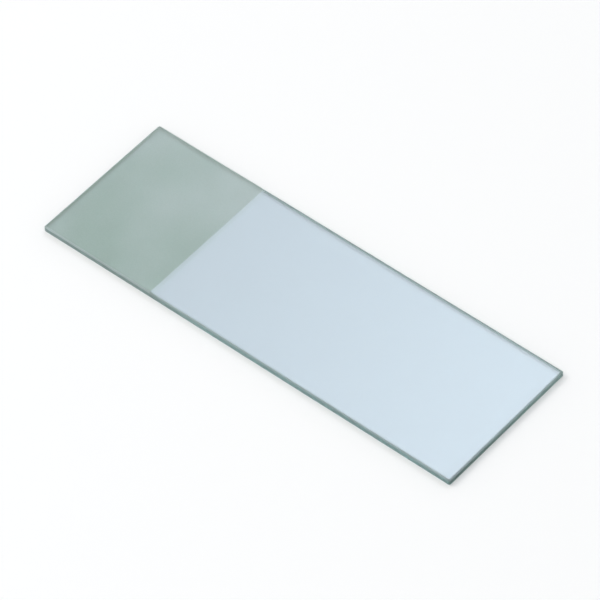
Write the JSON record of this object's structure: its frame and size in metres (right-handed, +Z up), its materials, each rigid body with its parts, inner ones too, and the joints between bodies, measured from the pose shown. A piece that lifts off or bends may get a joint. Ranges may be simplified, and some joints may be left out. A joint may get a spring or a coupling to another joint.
{
  "type": "microscope slide",
  "caption": "Flat rectangular glass slide with ground, bevelled edges and one frosted end to write on; it carries a specimen under a microscope.",
  "frame": {"origin": "middle of the underside, in the plane that the slide lies on", "axes": "+X along the length, from the frosted end towards the clear end; +Y across the width; +Z up through the glass, out of the face that carries the specimen and the frosting"},
  "size_m": [0.0762, 0.0254, 0.0011],
  "materials": {
    "glass": "clear soda-lime glass with a faint green tint: polished faces, ground edges, one end frosted"
  },
  "bodies": {
    "root": {"glass_slide": "glass"}
  },
  "joints": []
}
